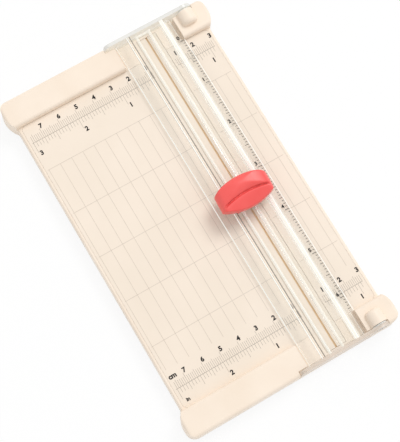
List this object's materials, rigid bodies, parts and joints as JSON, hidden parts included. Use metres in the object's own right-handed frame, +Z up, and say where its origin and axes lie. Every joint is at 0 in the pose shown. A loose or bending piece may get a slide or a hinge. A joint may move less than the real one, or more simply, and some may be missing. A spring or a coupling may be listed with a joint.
{
  "type": "paper trimmer",
  "caption": "Flat paper trimmer: a ruled deck between raised end bars, a clear rail that hinges up, and a sprung cutter that slides along the rail and is pressed down to slit paper.",
  "frame": {"origin": "on the table under the middle of the base", "axes": "+X to the right across the cut, +Y away from the user along the cut, +Z up"},
  "size_m": [0.1172, 0.1904, 0.0278],
  "materials": {
    "cream_plastic": "satin moulding",
    "deck_plastic": "fine matte sheet",
    "mat_plastic": "soft matte strip",
    "clear_plastic": "clear polished",
    "red_plastic": "satin moulding",
    "grey_plastic": "plain moulding",
    "white_nylon": "plain moulding",
    "black_rubber": "matte",
    "steel": "bright zinc",
    "spring_steel": "drawn wire",
    "blade_steel": "ground"
  },
  "bodies": {
    "base": {"base": "cream_plastic", "deck_panel_left": "deck_plastic", "deck_panel_right": "deck_plastic", "panel_screws": "steel", "cutting_mat": "mat_plastic", "rubber_feet": "black_rubber", "hinge_pins": "steel", "hinge_washers": "white_nylon"},
    "arm": {"rail_arm": "clear_plastic"},
    "carriage": {"carriage": "red_plastic", "rail_clips": "red_plastic", "clip_screws": "steel", "carriage_glides": "white_nylon", "press_springs": "spring_steel"},
    "cutter_head": {"cutter_cap": "red_plastic", "cap_plate": "grey_plastic", "cap_screws": "steel", "blade_holder": "grey_plastic", "blade_clamp": "grey_plastic", "blade": "blade_steel", "blade_pin": "steel"}
  },
  "joints": [
    {"name": "arm_hinge", "type": "hinge", "parent": "base", "child": "arm", "pos_m": [0.04715, 0, 0.0126], "axis": [0, 1, 0], "range_deg": [0, 100]},
    {"name": "cutter_slide", "type": "slide", "parent": "arm", "child": "carriage", "axis": [0, 1, 0], "range_m": [-0.0775, 0.0895]},
    {"name": "blade_press", "type": "slide", "parent": "carriage", "child": "cutter_head", "axis": [0, 0, -1], "range_m": [0, 0.0024], "stiffness_N_per_m": 1000, "springref_m": -0.001, "deforming": ["press_springs"]}
  ]
}
